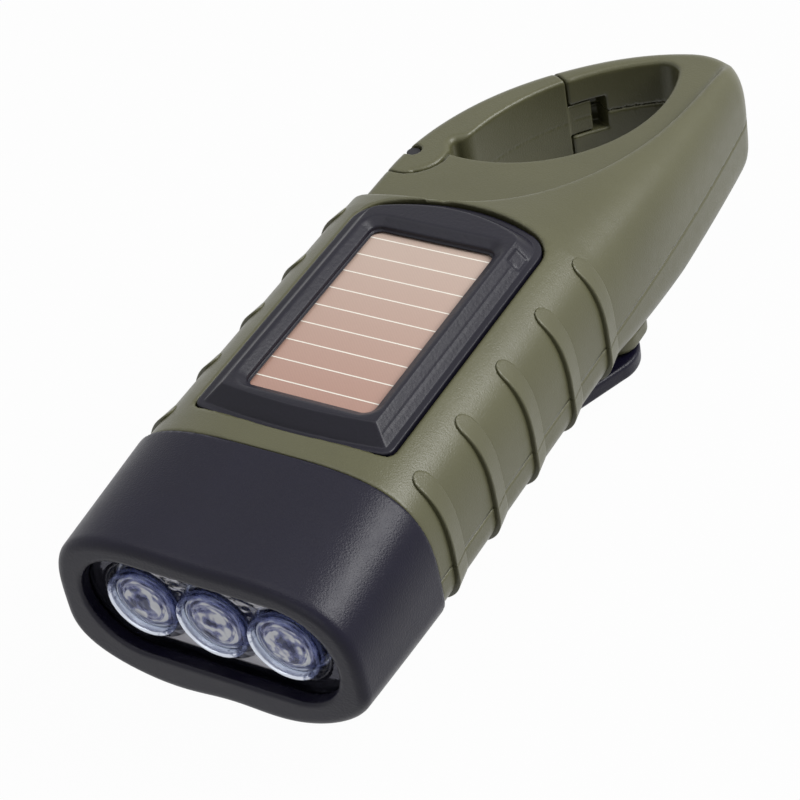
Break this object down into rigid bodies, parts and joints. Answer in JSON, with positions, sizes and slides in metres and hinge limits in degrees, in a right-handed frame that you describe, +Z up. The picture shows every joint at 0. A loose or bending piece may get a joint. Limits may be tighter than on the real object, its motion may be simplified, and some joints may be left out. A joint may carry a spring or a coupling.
{
  "type": "hand crank flashlight",
  "caption": "Hand crank flashlight with LED cups behind a clear window, a solar panel, a folding crank under the body, grip ribs and a sprung carabiner tail.",
  "frame": {"origin": "bottom centre of the bounding box, under the folded crank knob", "axes": "+Z up out of the solar panel, -Y out of the lamp window, +Y along the body to the carabiner tip, -X on the gate side"},
  "size_m": [0.0525, 0.1454, 0.0391],
  "materials": {
    "olive_plastic": "fine satin grain",
    "black_plastic": "fine matte grain",
    "frame_plastic": "satin",
    "clear_plastic": "clear, polished",
    "chrome_plating": "vacuum metallised, mirror bright",
    "solar_film": "amorphous film under a clear coat",
    "steel": "zinc plated",
    "brass": "turned",
    "magnet": "ground and plated",
    "nylon": "moulded, natural",
    "copper_wire": "enamelled winding",
    "cell_can": "plain can",
    "board": "solder mask",
    "white_board": "white solder mask",
    "black_part": "moulded"
  },
  "bodies": {
    "case": {"top_shell": "olive_plastic", "bottom_shell": "olive_plastic", "gate_pin": "steel", "gate_spring": "steel", "head_bezel": "black_plastic", "lens_window": "clear_plastic", "reflector": "chrome_plating", "led_left": "clear_plastic", "led_middle": "clear_plastic", "led_right": "clear_plastic", "led_board": "white_board", "solar_frame": "frame_plastic", "solar_cell": "solar_film", "first_axle": "steel", "second_axle": "steel", "gearbox_plate": "nylon", "plate_screw_1": "steel", "plate_screw_2": "steel", "plate_screw_3": "steel", "stator_core": "steel", "coil_bobbin": "nylon", "coil_winding": "copper_wire", "battery_cell_1": "cell_can", "battery_cell_2": "cell_can", "battery_cell_3": "cell_can", "battery_tray": "black_part", "battery_strap": "steel", "main_board": "board", "charge_chip": "black_part", "capacitor": "cell_can", "switch_body": "black_part", "switch_board": "board", "case_screw_1": "steel", "case_screw_2": "steel", "case_screw_3": "steel", "case_screw_4": "steel"},
    "crank": {"crank_arm": "black_plastic", "crank_shaft": "steel", "crank_screw": "steel", "knob_hinge_pin": "steel", "crank_gear": "nylon"},
    "knob_fold": {"knob_swivel": "black_plastic", "knob_screw": "steel"},
    "knob": {"crank_knob": "black_plastic"},
    "gear_first": {"first_gear": "nylon"},
    "gear_second": {"second_gear": "nylon"},
    "rotor": {"rotor_shaft": "brass", "magnet_rotor": "magnet"},
    "gate": {"carabiner_gate": "olive_plastic"},
    "button": {"power_button": "black_plastic"}
  },
  "joints": [
    {"name": "crank_spin", "type": "hinge", "parent": "case", "child": "crank", "pos_m": [0, -0.01416, 0.0176], "axis": [0, 0, 1], "continuous": true},
    {"name": "knob_unfold", "type": "hinge", "parent": "crank", "child": "knob_fold", "pos_m": [0.01589, 0.01703, 0.0052], "axis": [0.891, -0.454, 0], "range_deg": [0, 90]},
    {"name": "knob_spin", "type": "hinge", "parent": "knob_fold", "child": "knob", "pos_m": [0.01589, 0.01703, 0.0033], "axis": [0.454, 0.891, 0], "continuous": true},
    {"name": "first_gear_spin", "type": "hinge", "parent": "case", "child": "gear_first", "pos_m": [-0.00848, -0.00059, 0.0176], "axis": [0, 0, 1], "continuous": true},
    {"name": "second_gear_spin", "type": "hinge", "parent": "case", "child": "gear_second", "pos_m": [0.00452, 0.00224, 0.0176], "axis": [0, 0, 1], "continuous": true},
    {"name": "rotor_spin", "type": "hinge", "parent": "case", "child": "rotor", "pos_m": [0.01151, 0.00967, 0.0176], "axis": [0, 0, 1], "continuous": true},
    {"name": "gate_swing", "type": "hinge", "parent": "case", "child": "gate", "pos_m": [-0.0229, 0.03134, 0.0176], "axis": [0, 0, -1], "range_deg": [0, 32], "stiffness_Nm_per_rad": 0.04, "springref_deg": -28.65},
    {"name": "button_press", "type": "slide", "parent": "case", "child": "button", "axis": [1, 0, 0], "range_m": [0, 0.0006], "stiffness_N_per_m": 600, "springref_m": -0.001}
  ],
  "couplings": [
    {"joint": "first_gear_spin", "follows": "crank_spin", "ratio": -3},
    {"joint": "second_gear_spin", "follows": "crank_spin", "ratio": 8.4},
    {"joint": "rotor_spin", "follows": "crank_spin", "ratio": -20.16}
  ]
}
